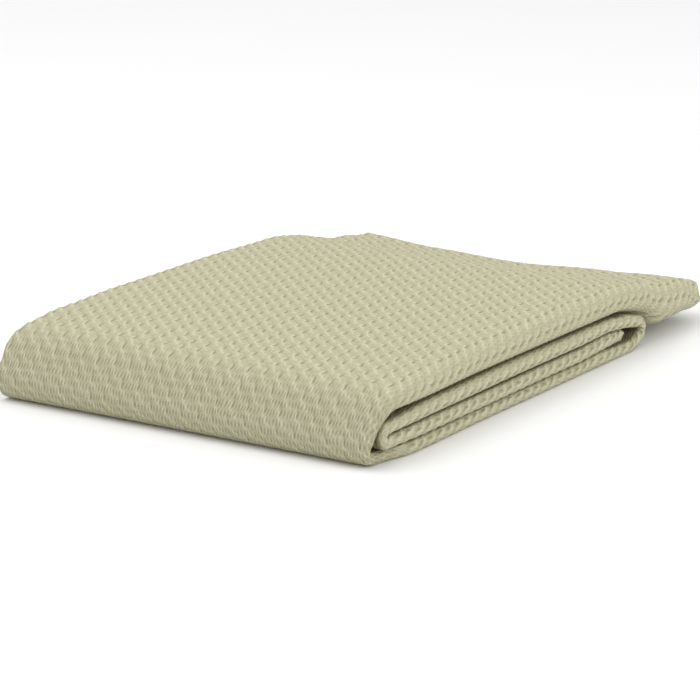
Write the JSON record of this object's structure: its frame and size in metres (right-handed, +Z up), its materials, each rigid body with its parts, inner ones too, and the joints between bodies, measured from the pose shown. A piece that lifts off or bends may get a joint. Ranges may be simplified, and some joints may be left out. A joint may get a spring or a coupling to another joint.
{
  "type": "folded baby blanket",
  "caption": "Woven cotton baby blanket, folded in half twice and rolled flat into a low stack, with a loose flap at its back.",
  "frame": {"origin": "middle of the folded blanket's box, on the surface that it rests on", "axes": "+X runs from the rounded front fold towards the loose flap, +Y along the front fold, +Z up"},
  "size_m": [0.3032, 0.201, 0.0355],
  "materials": {
    "cloth": "matt sage-green cotton in a thick cellular weave, with cells of about 8 mm"
  },
  "bodies": {
    "root": {"blanket": "cloth"}
  },
  "joints": []
}
